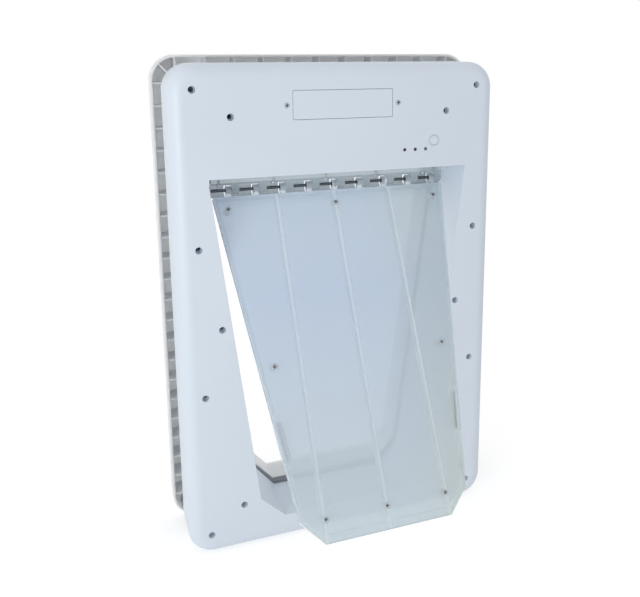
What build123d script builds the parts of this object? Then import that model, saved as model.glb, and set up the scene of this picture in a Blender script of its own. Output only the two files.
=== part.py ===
from build123d import *
import math
import os

# Smart pet door: a front frame with the controls, a rear frame, and a clear flap between them.
# X is to the right, Y points away from the front, Z is up. Y = 0 is where the front frame meets
# the door panel, and Z = 0 is the lower edge of both frames. Sizes are in millimetres.

# Front frame
frame_width = 403.0
frame_height = 598.0
frame_depth = 60.0
frame_corner_r = 31.0
frame_edge_r = 17.0
frame_wall = 3.0
header_height = 151.0
side_band = 40.0
sill_height = 34.0

# Rear frame and the panel that the two frames clamp
panel_gap = 36.0
rear_width = 420.0
rear_height = 607.0
rear_depth = 33.0
rear_edge_r = 12.0
rib_wall = 2.0
rib_band = 24.0
rib_ring_r = 11.0
rib_pitch_side = 27.0
rib_pitch_top = 36.0
rib_setback = 1.0

# Screw holes that clamp the frames to the panel: an outer column and an inner one on each side
hole_side_margin = 26.5
hole_end_margin = 28.0
outer_rows = 4
inner_end_x = 133.7
inner_top_margin = 59.0
inner_low_margin = 60.0
inner_middle_x = 152.0
inner_middle_drop = 8.0
hole_r = 2.75
recess_r = 4.1
recess_depth = 8.0
boss_r = 6.5
rear_pilot_r = 2.2
rear_pilot_depth = 24.0
screw_clearance = 0.05

# Flap, drawn hanging straight down and then swung towards the front
hinge_y = -6.7
flap_open_deg = 29.0
flap_floor_gap = 3.0
flap_side_gap = 10.5
flap_top_drop = 10.0
flap_low_half = 99.0
flap_bottom_half = 75.0
flap_corner_rise = 26.0
flap_thickness = 12.0
flap_sheet = 2.0
flap_rim = 3.5
flap_bottom_rim = 9.0
flap_rib_x = 73.5
flap_rib_width = 3.0
flap_screw_top_inset = 13.4
flap_screw_top_drop = 26.7
flap_screw_middle_inset = 16.8
flap_screw_middle_drop = 215.8
flap_screw_low_x = 72.0
flap_screw_low_rise = 25.0
flap_boss_r = 4.6
flap_screw_r = 1.5
flap_screw_head_r = 2.8
flap_screw_head_h = 2.2

# Strike plates in the flap's side edges, where the lock bolts go in
strike_rise = 112.0
strike_length = 42.0
strike_width = 6.6
strike_thickness = 1.2
strike_depth = 4.5
strike_pad = 8.0
strike_fit = 0.1

# Passage through the frames: the flap's outline with room to swing
opening_top_rise = 22.5
opening_low_half = 112.5
opening_floor_half = 82.0
funnel_end_y = 20.0
funnel_top_rise = 13.0
funnel_side_room = 4.0
funnel_corner_room = 2.8
funnel_floor_room = 7.0
sleeve_start_y = 30.0
sleeve_wall = 4.0
sleeve_top_rise = 11.0
sleeve_side_room = 3.0
sleeve_corner_room = 1.8
sleeve_floor_room = 3.5
sleeve_fit = 0.3
collar_overlap = 10.0
seal_thickness = 3.4
seal_fit = 0.1

# Hinge: a clear strip with lugs, a steel rod, and bushed lugs on the flap
strip_overhang = 0.2
strip_depth = 15.0
strip_drop = 8.0
lug_count = 9
strip_lug_width = 9.0
strip_lug_r = 6.3
flap_lug_width = 6.5
flap_lug_r = 5.4
lug_side_gap = 0.4
rod_r = 1.8
rod_seat = 0.03
rod_chamfer = 0.45
bush_r = 3.2
bush_running = 0.05
strip_screw_offset = 11.2
strip_screw_r = 1.5
strip_screw_head_r = 2.7
strip_screw_head_h = 1.8

# Battery compartment behind the cover at the top
cover_width = 124.0
cover_height = 34.0
cover_drop = 47.5
cover_corner_r = 2.0
cover_thickness = 2.6
cover_gap = 0.4
compartment_pad = 3.0
pad_margin = 4.0
cell_r = 7.1
cell_length = 50.0
cell_nub_r = 2.7
cell_nub_h = 1.0
cell_gap = 0.6
tray_wall = 1.6
tray_ear_x = 69.0
tray_ear_r = 8.0
tray_ear_thickness = 3.0
tray_screw_r = 1.6
tray_screw_head_r = 3.0
tray_screw_head_h = 1.6

# Controls
led_count = 3
led_first_x = 78.0
led_pitch = 14.0
led_drop = 105.2
led_r = 1.45
led_chamfer = 0.5
led_flange_r = 2.2
led_flange_h = 1.5
led_hole_gap = 0.15
button_x = 117.5
button_drop = 95.0
button_r = 5.8
button_gap = 0.3
button_flange_r = 7.4
button_flange_h = 1.6
button_stem_r = 2.2
button_travel = 1.0
board_width = 56.0
board_height = 46.0
board_thickness = 1.6
board_corner_r = 2.0
board_x = 95.0
board_drop = 98.0
board_y = -46.0
board_post_r = 3.0
board_post_inset = 4.0
switch_size = 6.0
switch_height = 3.0
switch_body_h = 2.4
switch_plunger_r = 1.75

# Lock bolts beside the passage, with their drive housings
bolt_width = 5.0
bolt_height = 12.0
bolt_length = 26.0
bolt_gap = 0.3
bolt_end_gap = 2.0
bolt_chamfer = 1.0
lock_housing_length = 40.0
lock_housing_height = 28.0
lock_housing_depth = 16.0
lock_housing_edge_r = 2.0
lock_wall_gap = 0.5
lock_ear = 12.0
lock_ear_thickness = 3.0
lock_post_r = 4.5
lock_screw_r = 1.5
lock_screw_head_r = 2.8
lock_screw_head_h = 2.0
lock_screw_length = 12.0

# Depths that follow from the sizes above
face_y = -frame_depth
face_inner_y = face_y + frame_wall
rear_rim_y = panel_gap
rear_face_y = panel_gap + rear_depth
rear_inner_y = rear_face_y - frame_wall
pad_back_y = face_inner_y + compartment_pad
lock_front_y = hinge_y - lock_housing_depth / 2
lock_back_y = hinge_y + lock_housing_depth / 2

# The flap hangs from a line below the frame's header and ends just over the sill
clamp_height = min(frame_height, rear_height)
hinge_z = frame_height - header_height
flap_length = hinge_z - sill_height - flap_floor_gap
flap_low_drop = flap_length - flap_corner_rise
opening_top_half = frame_width / 2 - side_band
opening_top_z = hinge_z + opening_top_rise
opening_low_z = hinge_z - flap_low_drop
opening_slope = (opening_top_half - opening_low_half) / (opening_top_z - opening_low_z)
flap_top_half = opening_top_half - flap_side_gap
flap_taper = (flap_top_half - flap_low_half) / flap_low_drop
flap_half_thickness = flap_thickness / 2
flap_front_y = hinge_y - flap_half_thickness
flap_back_sheet_y = hinge_y + flap_half_thickness - flap_sheet
strike_drop = flap_length - strike_rise
strike_z = hinge_z - strike_drop

# Hinge lugs, battery tray and controls
strip_half = flap_top_half + strip_overhang
lug_pitch = 2 * strip_half / lug_count
strip_lug_x = [-strip_half + lug_pitch * (i + 1) - strip_lug_width / 2 for i in range(lug_count)]
flap_lug_x = [x - strip_lug_width / 2 - lug_side_gap - flap_lug_width / 2 for x in strip_lug_x]
strip_screw_x = [x - strip_screw_offset for x in flap_lug_x[::2]]
strip_low_z = hinge_z + strip_drop
cover_z = frame_height - cover_drop
tray_inside = (2 * cell_length + 3 * cell_gap, 4 * cell_r + 3 * cell_gap)
tray_depth = 2 * cell_r + 2 * cell_gap
led_x = [led_first_x + led_pitch * i for i in range(led_count)]
led_z = frame_height - led_drop
button_z = frame_height - button_drop
board_z = frame_height - board_drop


def sheet(sketch, y_front, y_back):
    """Extrude an XZ sketch from y_back towards the front, to y_front."""
    return extrude(Plane.XZ.offset(-y_back) * sketch, y_back - y_front)


def post(x, z, radius, y_front, y_back):
    """A round pillar along Y."""
    return sheet(Pos(x, z) * Circle(radius), y_front, y_back)


def bar_x(x_low, x_high, y, z, radius):
    """A round bar along X."""
    return extrude(Plane.YZ.offset(x_low) * Pos(y, z) * Circle(radius), x_high - x_low)


def block(x_range, y_range, z_range):
    """A box given by its limits."""
    spans = [x_range, y_range, z_range]
    sizes = [high - low for low, high in spans]
    middle = [(high + low) / 2 for low, high in spans]
    return Pos(*middle) * Box(*sizes)


def around(middle, size):
    """The limits of a span of a given size round its middle."""
    return middle - size / 2, middle + size / 2


def outline(top_half, top_z, low_half, low_z, floor_half, floor_z):
    """The tapered outline of the flap and its passage, with cut lower corners."""
    right = [(floor_half, floor_z), (low_half, low_z), (top_half, top_z)]
    left = [(-x, z) for x, z in reversed(right)]
    return Polygon(*right, *left, align=None)


def flap_half(drop):
    """Half the flap's width at a distance below the hinge line."""
    return flap_top_half - flap_taper * drop


def passage(side_room, corner_room, floor_room, top_rise):
    """The flap's outline as it hangs, with room round it, up to a height above the hinge line."""
    return outline(
        flap_half(-top_rise) + side_room, hinge_z + top_rise,
        flap_low_half + side_room, opening_low_z - corner_room,
        flap_bottom_half + corner_room, hinge_z - flap_length - floor_room)


def grown(sketch, amount):
    """An outline moved outwards, with its corners kept sharp."""
    return offset(sketch, amount, kind=Kind.INTERSECTION)


opening = outline(
    opening_top_half, opening_top_z, opening_low_half, opening_low_z, opening_floor_half, sill_height)
funnel_end = passage(funnel_side_room, funnel_corner_room, funnel_floor_room, funnel_top_rise)
sleeve_bore = passage(sleeve_side_room, sleeve_corner_room, sleeve_floor_room, sleeve_top_rise)
sleeve_outside = grown(sleeve_bore, sleeve_wall)
collar_bore = grown(sleeve_outside, sleeve_fit)


def funnel_share(y):
    """How far along the funnel a depth lies, from 0 at the face to 1 at its end."""
    return (y - face_y) / (funnel_end_y - face_y)


def funnel_top_at(y):
    """Height of the funnel's top wall at a depth."""
    return hinge_z + opening_top_rise + funnel_share(y) * (funnel_top_rise - opening_top_rise)


def funnel_half_at(y, z):
    """Half the funnel's width at a depth and a height between its top and its cut corners."""
    front = opening_top_half - opening_slope * (opening_top_z - z)
    back = flap_half(hinge_z - z) + funnel_side_room
    return front + funnel_share(y) * (back - front)


def funnel_solid(front_outline, back_outline):
    """The tapering solid from an outline at the face to one at the funnel's end."""
    front = Plane.XZ.offset(-face_y) * front_outline
    back = Plane.XZ.offset(-funnel_end_y) * back_outline
    return loft([front.face(), back.face()], ruled=True)


# The lock bolts stop level with the funnel's wall, and their housings stand just outside it
bolt_tip = funnel_half_at(hinge_y, strike_z)
funnel_wall_x = frame_wall / math.cos(math.atan(opening_slope))
lock_high_z = strike_z + lock_housing_height / 2
lock_start = funnel_half_at(lock_front_y, lock_high_z) + funnel_wall_x + lock_wall_gap


def frame_block(width, height, corner_r, wall_y, face_at, edge_r):
    """A rounded block between the panel side at wall_y and the rounded face."""
    block_outline = Pos(0, height / 2) * RectangleRounded(width, height, corner_r)
    solid = sheet(block_outline, min(wall_y, face_at), max(wall_y, face_at))
    face = solid.faces().sort_by(lambda f: abs(f.center().Y - face_at))[0]
    return fillet(face.edges(), edge_r)


def frame_shell(width, height, wall_y, face_at, edge_r):
    """A rounded tray: a face, four walls and an open side at wall_y."""
    outside = frame_block(width, height, frame_corner_r, wall_y, face_at, edge_r)
    inner_face = face_at + math.copysign(frame_wall, wall_y - face_at)
    thinner = 2 * frame_wall
    inside = frame_block(
        width - thinner, height - thinner, frame_corner_r - frame_wall, wall_y, inner_face, edge_r - frame_wall)
    return outside - Pos(0, 0, frame_wall) * inside


def panel_holes():
    """Centres of all the clamp screws, as X and Z. Both frames take them, so the lower one sets their rows."""
    pitch = (clamp_height - 2 * hole_end_margin) / (outer_rows - 1)
    outer_x = frame_width / 2 - hole_side_margin
    right = [(outer_x, hole_end_margin + pitch * row) for row in range(outer_rows)]
    right.append((inner_end_x, clamp_height - inner_top_margin))
    right.append((inner_middle_x, clamp_height / 2 - inner_middle_drop))
    right.append((inner_end_x, inner_low_margin))
    return right + [(-x, z) for x, z in right]


def board_corners():
    """Where the circuit board rests on its posts."""
    dx = board_width / 2 - board_post_inset
    dz = board_height / 2 - board_post_inset
    return [(board_x + sx * dx, board_z + sz * dz) for sx in (-1, 1) for sz in (-1, 1)]


def lock_posts():
    """Centres of the posts that carry the lock housings, as X and Z."""
    x = lock_start + lock_housing_length / 2
    dz = lock_housing_height / 2 + lock_ear / 2
    return [(side * x, strike_z + up * dz) for side in (-1, 1) for up in (-1, 1)]


def bolt_channel(side, x_low, x_high):
    """The running space of a lock bolt between two distances from the middle."""
    reach = sorted((side * x_low, side * x_high))
    return block(reach, around(hinge_y, bolt_width + 2 * bolt_gap), around(strike_z, bolt_height + 2 * bolt_gap))


def make_front_frame():
    body = frame_shell(frame_width, frame_height, 0, face_y, frame_edge_r)
    # The funnel and, behind it, the collar that takes the rear frame's sleeve
    body += funnel_solid(grown(opening, frame_wall), grown(funnel_end, frame_wall))
    collar_end = sleeve_start_y + collar_overlap
    body += sheet(grown(collar_bore, frame_wall), funnel_end_y - frame_wall, collar_end)
    body -= funnel_solid(opening, funnel_end)
    body -= sheet(collar_bore, funnel_end_y, collar_end)
    # Pillars for the clamp screws, the circuit board and the lock housings
    for x, z in panel_holes():
        body += post(x, z, boss_r, face_inner_y, 0)
    for x, z in board_corners():
        body += post(x, z, board_post_r, face_inner_y, board_y)
    for x, z in lock_posts():
        body += post(x, z, lock_post_r, face_inner_y, lock_front_y)
    # Thick pad round the battery opening, and the recess for its cover
    pad_half_x = tray_ear_x + tray_ear_r
    pad = Pos(0, cover_z) * RectangleRounded(2 * pad_half_x, cover_height + 2 * pad_margin, cover_corner_r)
    body += sheet(pad, face_inner_y, pad_back_y)
    recess = Pos(0, cover_z) * RectangleRounded(cover_width, cover_height, cover_corner_r)
    body -= sheet(recess, face_y, face_y + cover_thickness)
    body -= sheet(Pos(0, cover_z) * Rectangle(*tray_inside), face_y, pad_back_y)
    # Holes for the clamp screws, the tray's screws, the controls and the lock screws
    for x, z in panel_holes():
        body -= post(x, z, hole_r, face_y, 0)
        body -= post(x, z, recess_r, face_y, face_y + recess_depth)
    for x in (-tray_ear_x, tray_ear_x):
        body -= post(x, cover_z, tray_screw_r + screw_clearance, face_y, pad_back_y)
        body -= post(x, cover_z, tray_screw_head_r + screw_clearance, face_y, face_y + tray_screw_head_h)
    for x in led_x:
        body -= post(x, led_z, led_r + led_hole_gap, face_y, face_inner_y)
    body -= post(button_x, button_z, button_r + button_gap, face_y, face_inner_y)
    for x, z in lock_posts():
        pilot = lock_screw_length - lock_ear_thickness
        body -= post(x, z, lock_screw_r + screw_clearance, lock_front_y - pilot, lock_front_y)
    # Slots that the lock bolts pass through, and the holes for the hinge strip's screws
    for side in (-1, 1):
        body -= bolt_channel(side, bolt_tip - funnel_wall_x, bolt_tip + 2 * funnel_wall_x)
    for x in strip_screw_x:
        body -= strip_screw_hole(x)
    return body


def make_rear_frame():
    body = frame_shell(rear_width, rear_height, rear_rim_y, rear_face_y, rear_edge_r)
    centre = Pos(0, rear_height / 2)
    rib_y = rear_rim_y + rib_setback
    ring_outside = centre * RectangleRounded(rear_width - 2 * rib_band, rear_height - 2 * rib_band, rib_ring_r)
    ring = ring_outside - offset(ring_outside, -rib_wall)
    # Stiffening ribs between the rim and an inner ring, open towards the panel
    band = centre * Rectangle(rear_width - frame_wall, rear_height - frame_wall) - ring_outside
    ribs = Sketch()
    side_count = 2 * int((rear_height / 2 - frame_corner_r) / rib_pitch_side) + 1
    for place in GridLocations(0, rib_pitch_side, 1, side_count):
        ribs += centre * place * Rectangle(rear_width - frame_wall, rib_wall)
    top_count = 2 * int((rear_width / 2 - frame_corner_r + rib_wall) / rib_pitch_top) + 1
    for place in GridLocations(rib_pitch_top, 0, top_count, 1):
        ribs += centre * place * Rectangle(rib_wall, rear_height - frame_wall)
    diagonal = Rectangle(2 * (frame_corner_r - frame_wall), rib_wall)
    for side in (-1, 1):
        for up in (-1, 1):
            corner = Pos(side * (rear_width / 2 - frame_corner_r), up * (rear_height / 2 - frame_corner_r))
            ribs += centre * corner * Rot(0, 0, 45 * side * up) * diagonal
    rear_block = frame_block(rear_width, rear_height, frame_corner_r, rear_rim_y, rear_face_y, rear_edge_r)
    body += sheet((ribs & band) + ring, rib_y, rear_inner_y) & rear_block
    for x, z in panel_holes():
        body += post(x, z, boss_r, rear_rim_y, rear_inner_y)
    # The sleeve that reaches through the panel into the front frame's collar
    body += sheet(sleeve_outside, sleeve_start_y, rear_face_y)
    body -= sheet(sleeve_bore, sleeve_start_y, rear_face_y)
    for x, z in panel_holes():
        body -= post(x, z, rear_pilot_r, rear_rim_y, rear_rim_y + rear_pilot_depth)
    return body


def make_tunnel_seal():
    outside = grown(collar_bore, -seal_fit)
    return sheet(outside - grown(outside, -seal_thickness), funnel_end_y, sleeve_start_y)


def strip_screw_hole(x):
    """Clearance for a hinge strip screw, straight up through the strip and the funnel's top wall."""
    top = funnel_top_at(hinge_y) + 2 * frame_wall
    middle = Pos(x, hinge_y, (top + strip_low_z) / 2)
    return middle * Cylinder(strip_screw_r + screw_clearance, top - strip_low_z)


def make_hinge_strip():
    front, back = around(hinge_y, strip_depth)
    section = Polygon(
        (front, strip_low_z), (back, strip_low_z), (back, funnel_top_at(back)), (front, funnel_top_at(front)),
        align=None)
    body = extrude(Plane.YZ.offset(-strip_half) * section, 2 * strip_half)
    for x in strip_lug_x:
        span = around(x, strip_lug_width)
        body += block(span, around(hinge_y, 2 * strip_lug_r), (hinge_z, strip_low_z))
        body += bar_x(*span, hinge_y, hinge_z, strip_lug_r)
    body -= bar_x(-strip_half, strip_half, hinge_y, hinge_z, rod_r + rod_seat)
    for x in strip_screw_x:
        body -= strip_screw_hole(x)
    return body


def make_strip_screws():
    screws = Part()
    top = funnel_top_at(hinge_y) + frame_wall
    for x in strip_screw_x:
        shank = Cylinder(strip_screw_r, top - strip_low_z)
        head = Cylinder(strip_screw_head_r, strip_screw_head_h)
        screws += Pos(x, hinge_y, (top + strip_low_z) / 2) * shank
        screws += Pos(x, hinge_y, strip_low_z - strip_screw_head_h / 2) * head
    return screws


def make_hinge_rod():
    rod = bar_x(-strip_half, strip_half, hinge_y, hinge_z, rod_r)
    return chamfer(rod.edges().filter_by(GeomType.CIRCLE), rod_chamfer)


def swung(solid):
    """Turn a piece of the flap from hanging straight down to the open rest position."""
    return solid.rotate(Axis((0, hinge_y, hinge_z), (1, 0, 0)), -flap_open_deg)


def flap_screw_places():
    """X and Z of the flap's screws as it hangs."""
    low_drop = flap_length - flap_screw_low_rise
    spread = [
        (flap_half(flap_screw_top_drop) - flap_screw_top_inset, flap_screw_top_drop),
        (flap_half(flap_screw_middle_drop) - flap_screw_middle_inset, flap_screw_middle_drop),
        (flap_screw_low_x, low_drop),
    ]
    places = spread + [(-x, drop) for x, drop in spread] + [(0, flap_screw_top_drop), (0, low_drop)]
    return [(x, hinge_z - drop) for x, drop in places]


def strike_frame(side):
    """The middle of a strike plate's slot mouth, with its Z along the flap's sloping edge."""
    slope = math.degrees(math.atan(flap_taper))
    return Pos(side * flap_half(strike_drop), hinge_y, strike_z) * Rot(0, side * slope, 0)


def make_flap_shell(front):
    """One half of the flap: a clear sheet with a rim, ribs and screw pillars up to the middle plane."""
    out = -1 if front else 1
    inside_y = sorted((hinge_y, hinge_y + out * (flap_half_thickness - flap_sheet)))
    full_y = sorted((hinge_y, hinge_y + out * flap_half_thickness))
    top_z = hinge_z - flap_top_drop
    bottom_z = hinge_z - flap_length
    outer = outline(
        flap_half(flap_top_drop), top_z,
        flap_low_half, opening_low_z,
        flap_bottom_half, bottom_z)
    inner = outline(
        flap_half(flap_top_drop + flap_rim) - flap_rim, top_z - flap_rim,
        flap_low_half - flap_rim, opening_low_z + flap_rim,
        flap_bottom_half - flap_rim, bottom_z + flap_bottom_rim)
    body = sheet(outer, *full_y) - sheet(inner, *inside_y)
    for x in (-flap_rib_x, 0, flap_rib_x):
        body += block(around(x, flap_rib_width), inside_y, (bottom_z, top_z))
    for x, z in flap_screw_places():
        body += post(x, z, flap_boss_r, *inside_y)
    # Thicker rim behind each strike plate, with the plate's slot in it
    for side in (-1, 1):
        pad = Box(strike_pad, flap_thickness, strike_length + 2 * strike_pad)
        body += (strike_frame(side) * Pos(-side * strike_pad / 2, 0, 0) * pad) & sheet(outer, *full_y)
        slot = Box(2 * strike_depth, strike_width + 2 * strike_fit, strike_length + 2 * strike_fit)
        body -= strike_frame(side) * slot
    for x, z in flap_screw_places():
        body -= post(x, z, flap_screw_r + screw_clearance, flap_front_y, flap_back_sheet_y)
        body -= post(
            x, z, flap_screw_head_r + screw_clearance, flap_front_y, flap_front_y + flap_screw_head_h)
    # Lugs round the hinge rod, each with a seat for its bush
    if not front:
        for x in flap_lug_x:
            span = around(x, flap_lug_width)
            body += block(span, (hinge_y, hinge_y + flap_lug_r), (top_z, hinge_z))
            body += bar_x(*span, hinge_y, hinge_z, flap_lug_r)
            body -= bar_x(*span, hinge_y, hinge_z, bush_r + screw_clearance)
    return swung(body)


def make_flap_bushes():
    bushes = Part()
    for x in flap_lug_x:
        span = around(x, flap_lug_width)
        sleeve = bar_x(*span, hinge_y, hinge_z, bush_r)
        bushes += sleeve - bar_x(*span, hinge_y, hinge_z, rod_r + bush_running)
    return swung(bushes)


def make_flap_screws():
    screws = Part()
    for x, z in flap_screw_places():
        screws += post(x, z, flap_screw_head_r, flap_front_y, flap_front_y + flap_screw_head_h)
        screws += post(x, z, flap_screw_r, flap_front_y, flap_back_sheet_y)
    return swung(screws)


def make_strike(side):
    plate = Box(strike_thickness, strike_width, strike_length)
    seat = Pos(-side * (strike_depth - strike_thickness / 2), 0, 0)
    return swung(strike_frame(side) * seat * plate)


def make_battery_cover():
    face = RectangleRounded(
        cover_width - 2 * cover_gap, cover_height - 2 * cover_gap, cover_corner_r - cover_gap)
    plate = sheet(Pos(0, cover_z) * face, face_y, face_y + cover_thickness)
    front_edges = plate.faces().sort_by(Axis.Y)[0].edges()
    return chamfer(front_edges, cover_gap)


def make_battery_tray():
    inside_x, inside_z = tray_inside
    tray_back_y = pad_back_y + tray_depth
    ear_back_y = pad_back_y + tray_ear_thickness
    walls = Pos(0, cover_z) * Rectangle(inside_x + 2 * tray_wall, inside_z + 2 * tray_wall)
    body = sheet(walls, pad_back_y, tray_back_y + tray_wall)
    ear = Pos(0, cover_z) * SlotCenterToCenter(2 * tray_ear_x, 2 * tray_ear_r)
    body += sheet(ear, pad_back_y, ear_back_y)
    body -= sheet(Pos(0, cover_z) * Rectangle(*tray_inside), pad_back_y, tray_back_y)
    for x in (-tray_ear_x, tray_ear_x):
        body -= post(x, cover_z, tray_screw_r + screw_clearance, pad_back_y, ear_back_y)
    return body


def make_cell(column, row):
    """One dry cell lying along X, with its raised contact at the right."""
    x_low = column * (cell_length + cell_gap) - cell_length - cell_gap / 2
    z = cover_z + (row - 0.5) * (2 * cell_r + cell_gap)
    y = pad_back_y + tray_depth - cell_r - cell_gap / 4
    body = bar_x(x_low, x_low + cell_length - cell_nub_h, y, z, cell_r)
    return body + bar_x(x_low, x_low + cell_length, y, z, cell_nub_r)


def make_tray_screws():
    screws = Part()
    for x in (-tray_ear_x, tray_ear_x):
        screws += post(x, cover_z, tray_screw_head_r, face_y, face_y + tray_screw_head_h)
        screws += post(x, cover_z, tray_screw_r, face_y, pad_back_y + tray_ear_thickness + tray_screw_r)
    return screws


def make_circuit_board():
    face = RectangleRounded(board_width, board_height, board_corner_r)
    return sheet(Pos(board_x, board_z) * face, board_y, board_y + board_thickness)


def make_led(x):
    lens = post(x, led_z, led_r, face_y, board_y)
    lens = chamfer(lens.faces().sort_by(Axis.Y)[0].edges(), led_chamfer)
    return lens + post(x, led_z, led_flange_r, board_y - led_flange_h, board_y)


def make_button():
    flange_back = face_inner_y + button_flange_h
    cap = post(button_x, button_z, button_r, face_y, flange_back)
    cap = chamfer(cap.faces().sort_by(Axis.Y)[0].edges(), button_gap)
    cap += post(button_x, button_z, button_flange_r, face_inner_y + seal_fit, flange_back)
    stem_end = board_y - switch_height - button_travel - 2 * button_gap
    return cap + post(button_x, button_z, button_stem_r, face_inner_y, stem_end)


def make_tact_switch():
    body = block(
        around(button_x, switch_size), (board_y - switch_body_h, board_y), around(button_z, switch_size))
    return body + post(button_x, button_z, switch_plunger_r, board_y - switch_height, board_y)


def make_lock_housing(side):
    reach = sorted((side * lock_start, side * (lock_start + lock_housing_length)))
    body = block(reach, (lock_front_y, lock_back_y), around(strike_z, lock_housing_height))
    body = fillet(body.edges().filter_by(Axis.X), lock_housing_edge_r)
    ear_back_y = lock_front_y + lock_ear_thickness
    for x, z in lock_posts():
        if x * side > 0:
            z_range = sorted((strike_z, z + math.copysign(lock_ear / 2, z - strike_z)))
            body += block(around(x, lock_ear), (lock_front_y, ear_back_y), z_range)
    body -= bolt_channel(side, bolt_tip, bolt_tip + bolt_length + bolt_end_gap)
    for x, z in lock_posts():
        body -= post(x, z, lock_screw_r + screw_clearance, lock_front_y, ear_back_y)
    return body


def make_lock_screws():
    screws = Part()
    ear_back_y = lock_front_y + lock_ear_thickness
    for x, z in lock_posts():
        screws += post(x, z, lock_screw_head_r, ear_back_y, ear_back_y + lock_screw_head_h)
        screws += post(x, z, lock_screw_r, ear_back_y - lock_screw_length, ear_back_y)
    return screws


def make_lock_bolt(side):
    reach = sorted((side * bolt_tip, side * (bolt_tip + bolt_length)))
    bolt = block(reach, around(hinge_y, bolt_width), around(strike_z, bolt_height))
    tip = bolt.faces().sort_by(Axis.X)[0 if side > 0 else -1]
    return chamfer(tip.edges(), bolt_chamfer)


parts = {
    "front_frame": make_front_frame(),
    "rear_frame": make_rear_frame(),
    "tunnel_seal": make_tunnel_seal(),
    "hinge_strip": make_hinge_strip(),
    "hinge_strip_screws": make_strip_screws(),
    "hinge_rod": make_hinge_rod(),
    "flap_front_shell": make_flap_shell(front=True),
    "flap_back_shell": make_flap_shell(front=False),
    "flap_bushes": make_flap_bushes(),
    "flap_screws": make_flap_screws(),
    "battery_cover": make_battery_cover(),
    "battery_tray": make_battery_tray(),
    "battery_tray_screws": make_tray_screws(),
    "circuit_board": make_circuit_board(),
    "button_cap": make_button(),
    "button_switch": make_tact_switch(),
    "lock_screws": make_lock_screws(),
}
for column, column_name in enumerate(("left", "right")):
    for row, row_name in enumerate(("lower", "upper")):
        parts[f"battery_{row_name}_{column_name}"] = make_cell(column, row)
for name, x in zip(("left", "middle", "right"), led_x):
    parts[f"status_light_{name}"] = make_led(x)
for name, side in (("left", -1), ("right", 1)):
    parts[f"strike_plate_{name}"] = make_strike(side)
    parts[f"lock_bolt_{name}"] = make_lock_bolt(side)
    parts[f"lock_housing_{name}"] = make_lock_housing(side)

os.makedirs("parts", exist_ok=True)
for name, solid in parts.items():
    export_step(solid, f"parts/{name}.step")
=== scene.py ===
import bmesh
import bpy
import math
from mathutils import Matrix, Vector


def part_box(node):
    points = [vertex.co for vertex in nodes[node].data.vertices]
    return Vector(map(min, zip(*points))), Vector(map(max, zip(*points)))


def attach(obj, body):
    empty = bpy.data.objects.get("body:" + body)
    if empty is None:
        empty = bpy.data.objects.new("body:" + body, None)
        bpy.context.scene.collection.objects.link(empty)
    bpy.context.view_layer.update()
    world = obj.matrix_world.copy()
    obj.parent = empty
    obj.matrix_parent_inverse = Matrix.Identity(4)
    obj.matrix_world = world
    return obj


# Looks of the smart pet door: finishes, small forms that the solids leave out, floor, light and camera.
# Lengths are in metres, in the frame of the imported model.
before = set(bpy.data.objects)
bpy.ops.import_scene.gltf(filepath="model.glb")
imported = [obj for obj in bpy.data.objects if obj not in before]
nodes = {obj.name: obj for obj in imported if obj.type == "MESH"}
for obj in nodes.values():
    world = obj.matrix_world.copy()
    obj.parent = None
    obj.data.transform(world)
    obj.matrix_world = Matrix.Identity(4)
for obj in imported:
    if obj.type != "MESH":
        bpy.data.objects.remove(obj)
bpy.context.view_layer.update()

# Camera, in the photograph's frame of 640 by 597 pixels
image_width = 640
image_height = 597
camera_place = Vector((-0.28832, -0.89509, 0.61158))
camera_forward = Vector((0.3493, 0.9156, -0.1991))
focal_pixels = 749.05
centre_pixel = (368.28, 202.88)
sensor_width = 36.0
nearest_seen = 0.01

# Light: the world as it is seen, its light from the side and from straight above, and one key lamp
background_level = 1.0
world_level = 0.51
zenith_level = 0.86
key_place = Vector((-1.6, -1.4, 0.4))
key_aim = Vector((0.0, 0.0, 0.25))
key_size = 1.0
key_power = 15.5

# Floor: its glow where it is seen, its glow on the object, and the share of light that it throws back
floor_half = 8.0
floor_glow = 0.565
floor_fill = 0.26
floor_shadow_share = 0.6

# Colours, as display values of 0 to 255
front_white_colour = (214, 224, 235)
# The rear frame's white is painted paler than the front frame's, as painted light in its shaded pockets
rear_white_painted_lighter_colour = (247, 251, 255)
strip_colour = (196, 207, 213)
bright_steel_colour = (186, 189, 193)
dark_steel_and_recess_shade_colour = (92, 98, 102)
bush_colour = (92, 98, 102)
black_colour = (38, 39, 41)
foam_colour = (128, 134, 140)
board_colour = (24, 92, 52)
wrap_colour = (120, 124, 130)
red_lens_colour = (52, 24, 34)
blue_lens_colour = (34, 42, 58)
green_lens_colour = (72, 82, 74)

# Rear frame, which lets a little light through its thin ribs
rear_glow_weight = 0.65
rear_glow_reach = 0.015
rear_glow_shares = (1.0, 1.0, 1.0)

# Clear plastic of the flap: a painted reflection that changes colour by height, and a faint painted warmer
# reflection towards the right
clear_ior = 1.47
painted_reflection_heights = (
    (0.08, (222, 231, 235)),
    (0.20, (218, 227, 235)),
    (0.33, (213, 224, 237)),
    (0.45, (219, 229, 238)),
)
painted_reflection_tints = (
    (-0.15, (255, 255, 255)),
    (0.03, (255, 255, 255)),
    (0.10, (254, 253, 248)),
    (0.15, (252, 251, 246)),
)

# Upright ribs of the flap, painted paler than its sheets as a painted highlight, above all near the hinge
rib_places = (-0.0735, 0.0, 0.0735)
rib_half = 0.0016
rib_blur = 0.0004
sheet_clearness = 0.72
rib_highlight_clearness = 0.3
rib_highlight_heights = ((0.18, 0.25), (0.42, 1.0))

# Screw heads: a dome with a cross recess, which goes down to the screw's face below, coloured dark steel as
# a painted shade in the recess
head_rings = 14
head_steps = 56
head_dome = 0.0011
head_edge = 0.25
head_sink = 0.00002
cross_arm = 0.66
cross_half = 0.22
cross_depth = 1.1

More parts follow.
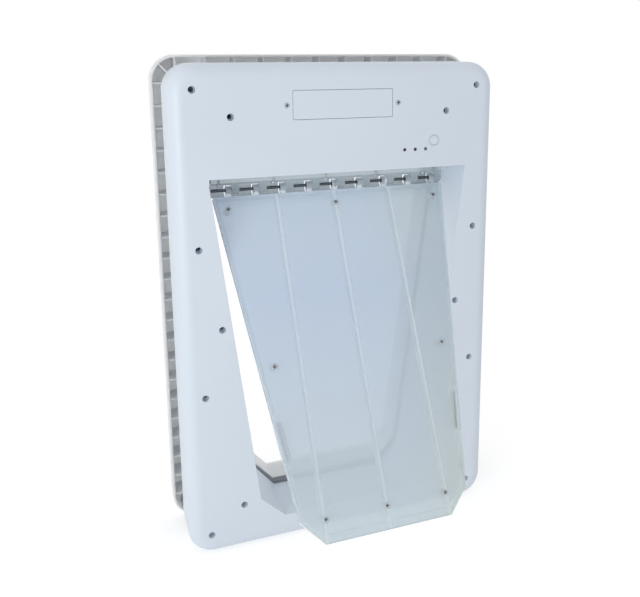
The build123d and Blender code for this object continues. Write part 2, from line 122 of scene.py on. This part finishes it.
# Clear flange of the hinge strip, which hangs behind the rod and curves in below it
flange_inner = (0.0065, 0.0076)
flange_outer = (0.0073, 0.0084)
flange_top = 0.008
flange_lug_top = 0.0048
flange_turn = math.radians(95)
flange_steps = 24
flange_lug_gap = 0.00075

# Low lenses over the status lights
lens_radius = 0.0021
lens_height = 0.0005

# Ring moulded round the push button
ring_gap = 0.0012
ring_width = 0.0007
ring_height = 0.00022
ring_steps = 96
ring_rings = 8
cap_front_depth = 0.0007

# Limits for reading the solids' meshes
merge_distance = 1e-6
same_plane = 1e-5
sideways_limit = 0.01
forward_limit = 0.5


def srgb(red, green, blue):
    """A linear colour from display values of 0 to 255."""
    shares = [value / 255 for value in (red, green, blue)]
    linear = [s / 12.92 if s <= 0.04045 else ((s + 0.055) / 1.055) ** 2.4 for s in shares]
    return (*linear, 1.0)


def grey(level):
    """A linear grey."""
    return (level, level, level, 1.0)


def scaled(colour, factor):
    """A colour made lighter or darker."""
    return (*[min(1.0, value * factor) for value in colour[:3]], 1.0)


def coloured(stops):
    """Stops of a ramp, from pairs of place and display colour."""
    return [(place, srgb(*colour)) for place, colour in stops]


def shaded(stops):
    """Stops of a ramp, from pairs of place and grey level."""
    return [(place, grey(level)) for place, level in stops]


class Finish:
    """A node material round one Principled shader, built up in short steps."""

    patch_start = 0.3
    patch_end = 0.7
    gloss_detail = 3.0
    edge_samples = 6

    def __init__(self, name):
        self.material = bpy.data.materials.new(name)
        self.material.use_nodes = True
        self.tree = self.material.node_tree
        self.shader = self.tree.nodes["Principled BSDF"]
        self.coords = self.tree.nodes.new("ShaderNodeTexCoord").outputs["Object"]

    def set(self, **values):
        """Constant values on the shader's own sockets."""
        for name, value in values.items():
            self.shader.inputs[name.replace("_", " ")].default_value = value
        return self

    def link(self, source, target):
        """A link from an output to an input."""
        self.tree.links.new(source, target)

    def noise(self, scale, detail=2.0, stretch=(1.0, 1.0, 1.0)):
        """Noise in object space; stretch above 1 makes it finer along that axis."""
        mapping = self.tree.nodes.new("ShaderNodeMapping")
        mapping.inputs["Scale"].default_value = stretch
        self.link(self.coords, mapping.inputs["Vector"])
        texture = self.tree.nodes.new("ShaderNodeTexNoise")
        texture.inputs["Scale"].default_value = scale
        texture.inputs["Detail"].default_value = detail
        self.link(mapping.outputs["Vector"], texture.inputs["Vector"])
        return texture.outputs["Fac"]

    def cells(self, scale):
        """Distance to the nearest of a cloud of points, for foam."""
        texture = self.tree.nodes.new("ShaderNodeTexVoronoi")
        texture.inputs["Scale"].default_value = scale
        self.link(self.coords, texture.inputs["Vector"])
        return texture.outputs["Distance"]

    def span(self, source, low, high):
        """A value that goes from low to high as the source goes from 0 to 1."""
        span = self.tree.nodes.new("ShaderNodeMapRange")
        span.inputs["To Min"].default_value = low
        span.inputs["To Max"].default_value = high
        self.link(source, span.inputs["Value"])
        return span.outputs["Result"]

    def colour(self, base, spread, scale):
        """Base colour that wanders a little over the surface."""
        ramp = self.tree.nodes.new("ShaderNodeValToRGB")
        start, end = ramp.color_ramp.elements
        start.position = self.patch_start
        end.position = self.patch_end
        start.color = scaled(base, 1 - spread)
        end.color = scaled(base, 1 + spread)
        self.link(self.noise(scale), ramp.inputs["Fac"])
        self.link(ramp.outputs["Color"], self.shader.inputs["Base Color"])
        return self

    def ramp_along(self, axis, stops):
        """A colour that changes along X, Y or Z, from pairs of place and colour."""
        low, high = stops[0][0], stops[-1][0]
        split = self.tree.nodes.new("ShaderNodeSeparateXYZ")
        self.link(self.coords, split.inputs["Vector"])
        span = self.tree.nodes.new("ShaderNodeMapRange")
        span.inputs["From Min"].default_value = low
        span.inputs["From Max"].default_value = high
        self.link(split.outputs[axis], span.inputs["Value"])
        ramp = self.tree.nodes.new("ShaderNodeValToRGB")
        elements = ramp.color_ramp.elements
        while len(elements) < len(stops):
            elements.new(0.5)
        for element, (place, colour) in zip(elements, stops):
            element.position = (place - low) / (high - low)
            element.color = colour
        self.link(span.outputs["Result"], ramp.inputs["Fac"])
        return ramp.outputs["Color"]

    def product(self, heights, sides):
        """A colour along Z, multiplied by one along X."""
        product = self.tree.nodes.new("ShaderNodeVectorMath")
        product.operation = "MULTIPLY"
        self.link(self.ramp_along("Z", heights), product.inputs[0])
        self.link(self.ramp_along("X", sides), product.inputs[1])
        return product.outputs["Vector"]

    def sheet_colours(self, heights, sides):
        """Base colour along Z, tinted along X."""
        self.link(self.product(heights, sides), self.shader.inputs["Base Color"])
        return self

    def clearness(self, low, high, heights, sides):
        """Transmission that goes from low to high as the product of two ramps goes from 0 to 1."""
        share = self.product(heights, sides)
        self.link(self.span(share, low, high), self.shader.inputs["Transmission Weight"])
        return self

    def gloss(self, low, high, scale, stretch=(1.0, 1.0, 1.0)):
        """Roughness between two values."""
        patches = self.noise(scale, self.gloss_detail, stretch)
        self.link(self.span(patches, low, high), self.shader.inputs["Roughness"])
        return self

    def relief(self, height, strength, depth, edge_radius):
        """Bump from a height, over edges that look rounded."""
        bevel = self.tree.nodes.new("ShaderNodeBevel")
        bevel.samples = self.edge_samples
        bevel.inputs["Radius"].default_value = edge_radius
        bump = self.tree.nodes.new("ShaderNodeBump")
        bump.inputs["Strength"].default_value = strength
        bump.inputs["Distance"].default_value = depth
        self.link(height, bump.inputs["Height"])
        self.link(bevel.outputs["Normal"], bump.inputs["Normal"])
        self.link(bump.outputs["Normal"], self.shader.inputs["Normal"])
        return self


def moulded_white(name, base):
    """Satin white moulding with a fine grain."""
    finish = Finish(name)
    finish.colour(base, spread=0.012, scale=9.0)
    finish.gloss(low=0.36, high=0.46, scale=40.0)
    finish.relief(finish.noise(scale=1600.0), strength=0.06, depth=0.0002, edge_radius=0.0007)
    return finish.set(Specular_IOR_Level=0.42)


def rear_moulded_white(name, base):
    """The white moulding of the rear frame, with light inside its walls; its base colour is painted paler
    than the front frame's, as painted light in its shaded pockets.
    """
    finish = moulded_white(name, base)
    finish.set(Subsurface_Weight=rear_glow_weight)
    finish.set(Subsurface_Scale=rear_glow_reach)
    return finish.set(Subsurface_Radius=rear_glow_shares)


def rib_shares():
    """Pairs of a place across the flap and the share of a rib there, from 0 to 1."""
    edge = rib_half + rib_blur
    profile = ((-edge, 0), (-rib_half, 1), (rib_half, 1), (edge, 0))
    return [(place + offset, share) for place in rib_places for offset, share in profile]


def clear_plastic(name):
    """Clear moulded acrylic, faintly blue, a little clouded by its two sheets, with a painted reflection in
    its colour by height and towards the right, and paler at its ribs as a painted highlight.
    """
    finish = Finish(name)
    # Painted reflection: the colour changes with height and warms towards the right
    finish.sheet_colours(coloured(painted_reflection_heights), coloured(painted_reflection_tints))
    # Painted highlight: the ribs are less clear, so paler, most of all near the hinge
    finish.clearness(sheet_clearness, rib_highlight_clearness, shaded(rib_highlight_heights), shaded(rib_shares()))
    finish.gloss(low=0.05, high=0.09, scale=25.0)
    finish.relief(finish.noise(scale=35.0), strength=0.05, depth=0.0006, edge_radius=0.0005)
    return finish.set(IOR=clear_ior)


def clear_strip(name, base):
    """The hinge strip's clear plastic, cloudier and greyer than the flap."""
    finish = Finish(name)
    finish.colour(base, spread=0.01, scale=30.0)
    finish.gloss(low=0.06, high=0.12, scale=60.0)
    finish.relief(finish.noise(scale=90.0), strength=0.06, depth=0.0004, edge_radius=0.0006)
    return finish.set(Transmission_Weight=0.6, IOR=clear_ior)


def turned_steel(name, base):
    """Turned steel with fine lines along X."""
    finish = Finish(name)
    finish.colour(base, spread=0.05, scale=300.0)
    finish.gloss(low=0.2, high=0.34, scale=700.0, stretch=(0.15, 1.0, 1.0))
    finish.relief(finish.noise(scale=2500.0), strength=0.05, depth=0.00005, edge_radius=0.0002)
    return finish.set(Metallic=1.0)


def dark_plastic(name, base):
    """Plain dark moulding with a fine grain."""
    finish = Finish(name)
    finish.colour(base, spread=0.1, scale=60.0)
    finish.gloss(low=0.42, high=0.55, scale=120.0)
    return finish.relief(finish.noise(scale=1800.0), strength=0.1, depth=0.0002, edge_radius=0.0003)


def seal_foam(name, base):
    """Dense grey foam with small closed cells."""
    finish = Finish(name)
    finish.colour(base, spread=0.12, scale=220.0)
    finish.gloss(low=0.8, high=0.95, scale=200.0)
    return finish.relief(finish.cells(scale=1100.0), strength=0.35, depth=0.0004, edge_radius=0.0008)


def circuit_board(name, base):
    """Green solder mask, slightly uneven."""
    finish = Finish(name)
    finish.colour(base, spread=0.15, scale=180.0)
    finish.gloss(low=0.25, high=0.4, scale=300.0)
    return finish.relief(finish.noise(scale=900.0), strength=0.1, depth=0.0001, edge_radius=0.0003)


def cell_wrap(name, base):
    """A dry cell's plain shrink wrap."""
    finish = Finish(name)
    finish.colour(base, spread=0.05, scale=70.0)
    finish.gloss(low=0.22, high=0.34, scale=150.0)
    return finish.relief(finish.noise(scale=300.0), strength=0.05, depth=0.0002, edge_radius=0.0004)


def tinted_lens(name, base):
    """A status light's dark lens, unlit."""
    finish = Finish(name)
    finish.colour(base, spread=0.2, scale=500.0)
    finish.gloss(low=0.08, high=0.16, scale=400.0)
    finish.relief(finish.noise(scale=800.0), strength=0.05, depth=0.00005, edge_radius=0.0002)
    return finish.set(Coat_Weight=0.4)


# Finish of every node
white = moulded_white("white_moulding", srgb(*front_white_colour)).material
steel = turned_steel("bright_steel", srgb(*bright_steel_colour)).material
# Dark steel: the hinge rod's darker steel, and a painted shade where it shows in the screw heads' recesses
dark_steel_and_recess_shade = turned_steel("dark_steel_and_recess_shade", srgb(*dark_steel_and_recess_shade_colour)).material
black = dark_plastic("black_moulding", srgb(*black_colour)).material
wrap = cell_wrap("cell_wrap", srgb(*wrap_colour)).material
flap_plastic_painted_light = clear_plastic("clear_flap_painted_light").material
finishes = {
    "front_frame": white,
    "battery_cover": white,
    "button_cap": white,
    # The rear white is painted paler than the front's, as painted light in the rear frame's shaded pockets
    "rear_frame": rear_moulded_white("rear_white_painted_lighter", srgb(*rear_white_painted_lighter_colour)).material,
    "tunnel_seal": seal_foam("grey_foam", srgb(*foam_colour)).material,
    "hinge_strip": clear_strip("clear_strip", srgb(*strip_colour)).material,
    "hinge_strip_screws": steel,
    "hinge_rod": dark_steel_and_recess_shade,
    "flap_front_shell": flap_plastic_painted_light,
    "flap_back_shell": flap_plastic_painted_light,
    "flap_bushes": dark_plastic("dark_nylon", srgb(*bush_colour)).material,
    # Screw bodies in dark steel: a painted shade in the recesses of their bright domed heads
    "flap_screws": dark_steel_and_recess_shade,
    "battery_tray": black,
    "battery_tray_screws": dark_steel_and_recess_shade,
    "circuit_board": circuit_board("solder_mask", srgb(*board_colour)).material,
    "button_switch": black,
    "lock_screws": dark_steel_and_recess_shade,
    "status_light_left": tinted_lens("dark_red_lens", srgb(*red_lens_colour)).material,
    "status_light_middle": tinted_lens("dark_blue_lens", srgb(*blue_lens_colour)).material,
    "status_light_right": tinted_lens("dark_green_lens", srgb(*green_lens_colour)).material,
}
for side in ("left", "right"):
    finishes[f"strike_plate_{side}"] = steel
    finishes[f"lock_bolt_{side}"] = steel
    finishes[f"lock_housing_{side}"] = black
    for row in ("lower", "upper"):
        finishes[f"battery_{row}_{side}"] = wrap
for name, node in nodes.items():
    node.data.materials.clear()
    node.data.materials.append(finishes[name])

# The clear pieces let soft light through to what lies behind them
for name in ("flap_front_shell", "flap_back_shell", "hinge_strip"):
    nodes[name].visible_shadow = False
    nodes[name].visible_diffuse = False


def solids_of(node):
    """The separate solids of a node, each as a list of its corner points."""
    mesh = bmesh.new()
    mesh.from_mesh(nodes[node].data)
    bmesh.ops.remove_doubles(mesh, verts=mesh.verts, dist=merge_distance)
    left = set(mesh.verts)
    solids = []
    while left:
        stack = [left.pop()]
        found = []
        while stack:
            vert = stack.pop()
            found.append(vert.co.copy())
            for edge in vert.link_edges:
                other = edge.other_vert(vert)
                if other in left:
                    left.remove(other)
                    stack.append(other)
        solids.append(found)
    mesh.free()
    return sorted(solids, key=lambda points: (points[0].x, points[0].z))


def flap_front_normal():
    """The direction that the flap's front sheet faces at rest."""
    total = Vector()
    for face in nodes["flap_front_shell"].data.polygons:
        if abs(face.normal.x) < sideways_limit and face.normal.y < -forward_limit:
            total += face.normal * face.area
    return total.normalized()


def cross_recess(x, y):
    """Depth of a cross recess as a share of the dome, at a place given in head radii."""
    reach, across = max(abs(x), abs(y)), min(abs(x), abs(y))
    if reach > cross_arm or across > cross_half:
        return 0.0
    return cross_depth


def no_recess(x, y):
    """A plain dome."""
    return 0.0


def add_dome(mesh, centre, normal, radius, rise, recess):
    """A round dome on a face, lowered where the recess says so."""
    turn = Vector((0, 0, 1)).rotation_difference(normal).to_matrix().to_4x4()
    place = Matrix.Translation(centre) @ turn

    def corner(x, y, height):
        return mesh.verts.new(place @ Vector((x * radius, y * radius, height)))

    angles = [2 * math.pi * step / head_steps for step in range(head_steps)]
    rings = []
    for ring in range(1, head_rings + 1):
        share = ring / head_rings
        dome = head_edge + (1 - head_edge) * math.sqrt(1 - share * share)
        spots = [(share * math.cos(angle), share * math.sin(angle)) for angle in angles]
        rings.append([corner(x, y, rise * (dome - recess(x, y))) for x, y in spots])
    rings.append([corner(math.cos(angle), math.sin(angle), -head_sink) for angle in angles])
    middle = corner(0, 0, rise * (1 - recess(0, 0)))
    for step in range(head_steps):
        after = (step + 1) % head_steps
        mesh.faces.new((middle, rings[0][step], rings[0][after]))
        for inner, outer in zip(rings, rings[1:]):
            mesh.faces.new((inner[step], outer[step], outer[after], inner[after]))
    mesh.faces.new(list(reversed(rings[-1])))


def finish_mesh(mesh, name, material, body):
    """Turn a built mesh into a piece that rides on a body."""
    data = bpy.data.meshes.new(name)
    bmesh.ops.recalc_face_normals(mesh, faces=mesh.faces)
    mesh.to_mesh(data)
    mesh.free()
    data.materials.append(material)
    piece = bpy.data.objects.new(name, data)
    bpy.context.scene.collection.objects.link(piece)
    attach(piece, body)


def make_screw_heads(node, body, normal):
    """Domed heads for every screw of a node, seen along the given direction."""
    mesh = bmesh.new()
    for points in solids_of(node):
        top = max(point.dot(normal) for point in points)
        face = [point for point in points if top - point.dot(normal) < same_plane]
        centre = sum(face, Vector()) / len(face)
        radius = max((point - centre).length for point in face)
        add_dome(mesh, centre, normal, radius, head_dome, cross_recess)
    finish_mesh(mesh, f"{node}_heads", steel, body)


def face_centre(node):
    """The middle of a node, brought to the front frame's face."""
    low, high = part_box(node)
    face_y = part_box("front_frame")[0].y
    return Vector(((low.x + high.x) / 2, face_y, (low.z + high.z) / 2))


def make_button_ring():
    """A low rounded ring on the frame's face, round the push button."""
    centre = face_centre("button_cap")
    cap_radius = max(
        math.hypot(v.co.x - centre.x, v.co.z - centre.z)
        for v in nodes["button_cap"].data.vertices if v.co.y < centre.y + cap_front_depth)
    mesh = bmesh.new()
    loops = []
    for step in range(ring_steps):
        angle = 2 * math.pi * step / ring_steps
        loop = []
        for part in range(ring_rings + 1):
            arc = math.pi * part / ring_rings
            radius = cap_radius + ring_gap + ring_width * (1 - math.cos(arc)) / 2
            out = ring_height * math.sin(arc) - head_sink
            offset = Vector((radius * math.cos(angle), -out, radius * math.sin(angle)))
            loop.append(mesh.verts.new(centre + offset))
        loops.append(loop)
    for step in range(ring_steps):
        here, there = loops[step], loops[(step + 1) % ring_steps]
        for part in range(ring_rings):
            mesh.faces.new((here[part], here[part + 1], there[part + 1], there[part]))
        mesh.faces.new((here[-1], here[0], there[0], there[-1]))
    finish_mesh(mesh, "button_ring", white, "frames")


def make_light_lens(side):
    """A low dark lens over a status light."""
    node = f"status_light_{side}"
    centre = face_centre(node)
    proud = centre.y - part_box(node)[0].y
    rise = max(lens_height, proud / head_edge)
    mesh = bmesh.new()
    add_dome(mesh, centre, Vector((0, -1, 0)), lens_radius, rise, no_recess)
    finish_mesh(mesh, f"{node}_lens", finishes[node], "frames")


def flange_profiles():
    """Pairs of inner and outer points, from the rod's axis: the whole flange, and its part above a lug."""
    sizes = (flange_inner, flange_outer)
    top = [(across, flange_top) for across, down in sizes]
    whole = [top]
    for step in range(flange_steps + 1):
        angle = -flange_turn * step / flange_steps
        whole.append([(across * math.cos(angle), down * math.sin(angle)) for across, down in sizes])
    upper = [top, [(across, flange_lug_top) for across, down in sizes]]
    return whole, upper


def add_length(mesh, start, end, pairs):
    """A straight length along X of a profile given by pairs of points, closed at both ends."""
    first, second = [[[mesh.verts.new((x, y, z)) for y, z in pair] for pair in pairs] for x in (start, end)]
    for here in range(len(pairs) - 1):
        there = here + 1
        for row in (first, second):
            mesh.faces.new((row[here][0], row[here][1], row[there][1], row[there][0]))
        for side in (0, 1):
            mesh.faces.new((first[here][side], first[there][side], second[there][side], second[here][side]))
    for last in (0, -1):
        mesh.faces.new((first[last][0], first[last][1], second[last][1], second[last][0]))


def make_hinge_flange():
    """The hinge strip's clear flange, with gaps where the flap's lugs pass."""
    rod_low, rod_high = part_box("hinge_rod")
    strip_low, strip_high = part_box("hinge_strip")
    axis_y, axis_z = (rod_low.y + rod_high.y) / 2, (rod_low.z + rod_high.z) / 2
    whole, upper = [
        [[(axis_y + y, axis_z + z) for y, z in pair] for pair in profile] for profile in flange_profiles()]
    lugs = [[point.x for point in points] for points in solids_of("flap_bushes")]
    cuts = sorted((min(xs) - flange_lug_gap, max(xs) + flange_lug_gap) for xs in lugs)
    starts = [strip_low.x] + [high for low, high in cuts]
    ends = [low for low, high in cuts] + [strip_high.x]
    mesh = bmesh.new()
    for start, end in zip(starts, ends):
        add_length(mesh, start, end, whole)
    for start, end in cuts:
        add_length(mesh, start, end, upper)
    finish_mesh(mesh, "hinge_flange", finishes["hinge_strip"], "frames")


make_screw_heads("flap_screws", "flap", flap_front_normal())
make_screw_heads("battery_tray_screws", "frames", Vector((0, -1, 0)))
make_screw_heads("lock_screws", "frames", Vector((0, 1, 0)))
make_screw_heads("hinge_strip_screws", "frames", Vector((0, 0, -1)))
make_button_ring()
make_hinge_flange()
for side in ("left", "middle", "right"):
    make_light_lens(side)


def seen_directly(tree):
    """1 for camera, glossy and transmission rays, which should find a white background."""
    path = tree.nodes.new("ShaderNodeLightPath")
    total = path.outputs["Is Camera Ray"]
    for name in ("Is Glossy Ray", "Is Transmission Ray"):
        either = tree.nodes.new("ShaderNodeMath")
        either.operation = "MAXIMUM"
        tree.links.new(total, either.inputs[0])
        tree.links.new(path.outputs[name], either.inputs[1])
        total = either.outputs["Value"]
    return total


def make_world():
    """White where it is seen, and otherwise a soft light, stronger from above."""
    world = bpy.data.worlds.new("studio")
    world.use_nodes = True
    bpy.context.scene.world = world
    tree = world.node_tree
    coords = tree.nodes.new("ShaderNodeTexCoord")
    split = tree.nodes.new("ShaderNodeSeparateXYZ")
    tree.links.new(coords.outputs["Generated"], split.inputs["Vector"])
    height = tree.nodes.new("ShaderNodeMapRange")
    height.inputs["To Min"].default_value = world_level
    height.inputs["To Max"].default_value = zenith_level
    tree.links.new(split.outputs["Z"], height.inputs["Value"])
    level = tree.nodes.new("ShaderNodeMapRange")
    level.inputs["To Max"].default_value = background_level
    tree.links.new(height.outputs["Result"], level.inputs["To Min"])
    tree.links.new(seen_directly(tree), level.inputs["Value"])
    background = tree.nodes["Background"]
    background.inputs["Color"].default_value = grey(1.0)
    tree.links.new(level.outputs["Result"], background.inputs["Strength"])


def floor_material():
    """A faint diffuse floor with a glow, which is stronger where the floor is seen."""
    material = bpy.data.materials.new("studio_floor")
    material.use_nodes = True
    tree = material.node_tree
    tree.nodes.remove(tree.nodes["Principled BSDF"])
    faint = tree.nodes.new("ShaderNodeBsdfDiffuse")
    faint.inputs["Color"].default_value = grey(floor_shadow_share)
    level = tree.nodes.new("ShaderNodeMapRange")
    level.inputs["To Min"].default_value = floor_fill
    level.inputs["To Max"].default_value = floor_glow
    tree.links.new(seen_directly(tree), level.inputs["Value"])
    glow = tree.nodes.new("ShaderNodeEmission")
    tree.links.new(level.outputs["Result"], glow.inputs["Strength"])
    bright = tree.nodes.new("ShaderNodeAddShader")
    tree.links.new(faint.outputs["BSDF"], bright.inputs[0])
    tree.links.new(glow.outputs["Emission"], bright.inputs[1])
    tree.links.new(bright.outputs["Shader"], tree.nodes["Material Output"].inputs["Surface"])
    return material


def make_floor():
    """A wide pale floor that stays white to the camera apart from the object's shadow."""
    data = bpy.data.meshes.new("floor")
    corners = [(x, y, 0.0) for x, y in ((-1, -1), (1, -1), (1, 1), (-1, 1))]
    data.from_pydata([Vector(corner) * floor_half for corner in corners], [], [(0, 1, 2, 3)])
    data.materials.append(floor_material())
    floor = bpy.data.objects.new("floor", data)
    bpy.context.scene.collection.objects.link(floor)


def make_key_light():
    """One large soft light from the front left."""
    data = bpy.data.lights.new("key", "AREA")
    data.size = key_size
    data.energy = key_power
    light = bpy.data.objects.new("key", data)
    light.location = key_place
    light.rotation_euler = (key_aim - key_place).to_track_quat("-Z", "Y").to_euler()
    bpy.context.scene.collection.objects.link(light)


def make_camera():
    """The photograph's camera."""
    data = bpy.data.cameras.new("camera")
    data.sensor_width = sensor_width
    data.lens = focal_pixels * sensor_width / image_width
    data.shift_x = (image_width / 2 - centre_pixel[0]) / image_width
    data.shift_y = (centre_pixel[1] - image_height / 2) / image_width
    data.clip_start = nearest_seen
    camera = bpy.data.objects.new("camera", data)
    camera.location = camera_place
    camera.rotation_euler = camera_forward.to_track_quat("-Z", "Y").to_euler()
    bpy.context.scene.collection.objects.link(camera)
    bpy.context.scene.camera = camera


make_world()
make_floor()
make_key_light()
make_camera()
bpy.context.scene.view_settings.view_transform = "Standard"
